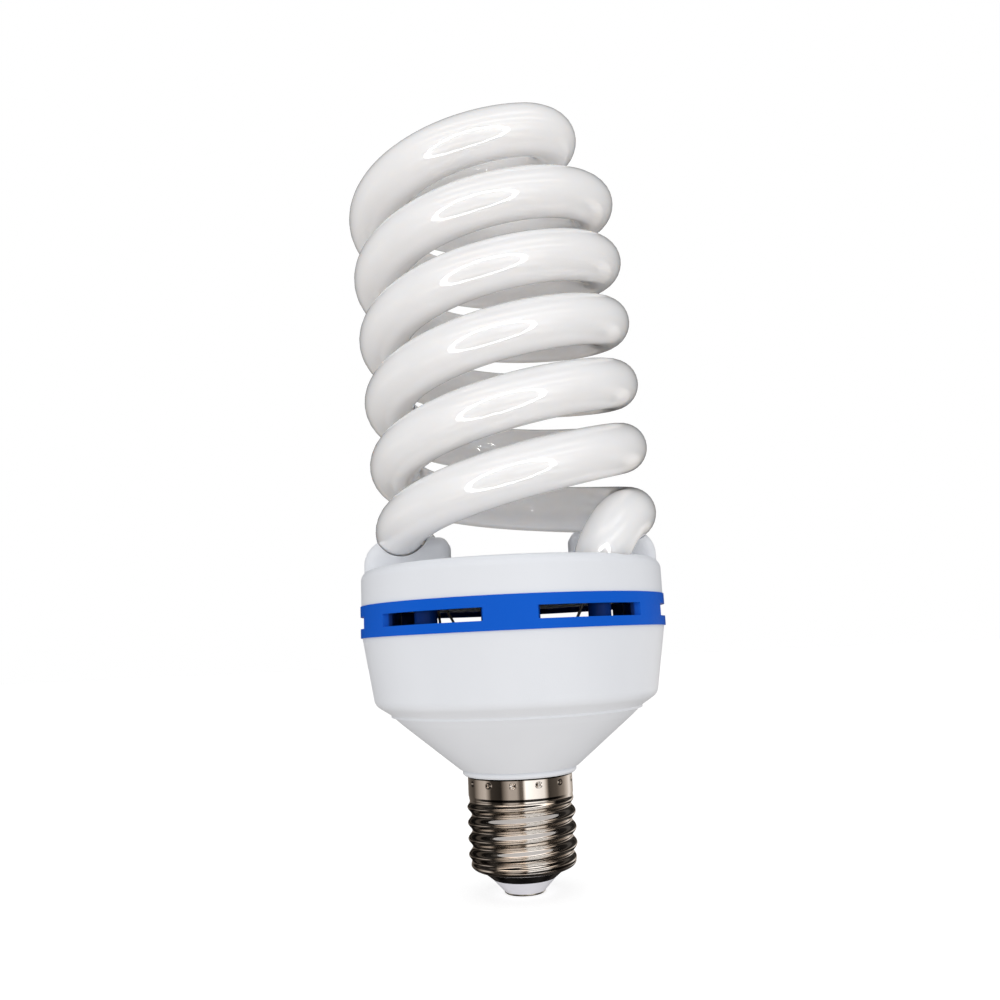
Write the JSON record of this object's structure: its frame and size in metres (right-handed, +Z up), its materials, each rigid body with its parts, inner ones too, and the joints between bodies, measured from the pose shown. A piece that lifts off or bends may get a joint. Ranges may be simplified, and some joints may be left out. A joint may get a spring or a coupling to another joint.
{
  "type": "spiral energy saving bulb",
  "caption": "White spiral fluorescent tube on a tapered white ballast housing with a blue vented ring and a nickel screw cap.",
  "frame": {"origin": "bottom centre of the centre contact", "axes": "+Z up the lamp from the cap to the top of the spiral, -Y toward the front"},
  "size_m": [0.0771, 0.076, 0.1936],
  "materials": {
    "coated_glass": "glossy white glass, coated inside, opaque",
    "holder_white": "glossy moulded white plastic",
    "vent_blue": "satin blue plastic",
    "housing_white": "satin white plastic",
    "cap_nickel": "nickel-plated rolled sheet",
    "black_glass": "black fused glass, opaque",
    "insulator_white": "white insulator",
    "contact_metal": "tinned contact",
    "cement": "white cement",
    "post_brass": "tinned posts",
    "lead_wire": "bare wire",
    "board": "brown laminate",
    "capacitor_sleeve": "shrink sleeve",
    "ferrite": "ferrite",
    "bobbin": "moulded bobbin",
    "copper": "enamelled copper wire",
    "component_black": "moulded case",
    "film_red": "dipped case",
    "film_green": "dipped case",
    "resistor_beige": "lacquered body",
    "wire_red": "wire sleeve",
    "wire_black": "wire sleeve"
  },
  "bodies": {
    "root": {"spiral_tube": "coated_glass", "tube_holder": "holder_white", "vent_ring": "vent_blue", "lower_housing": "housing_white", "cap_shell": "cap_nickel", "cap_glass": "black_glass", "contact_insulator": "insulator_white", "centre_contact": "contact_metal", "leg_cement": "cement", "wire_posts": "post_brass", "tube_leads": "lead_wire", "circuit_board": "board", "electrolytic_capacitors": "capacitor_sleeve", "choke_core": "ferrite", "choke_bobbin": "bobbin", "choke_winding": "copper", "toroid_core": "ferrite", "toroid_windings": "copper", "power_transistors": "component_black", "film_capacitors": "film_red", "resonance_capacitor": "film_green", "inductor_core": "ferrite", "inductor_winding": "copper", "rectifier_diodes": "component_black", "resistors": "resistor_beige", "fuse_resistor": "resistor_beige", "thermistor": "film_green", "live_wire": "wire_red", "neutral_wire": "wire_black"}
  },
  "joints": []
}
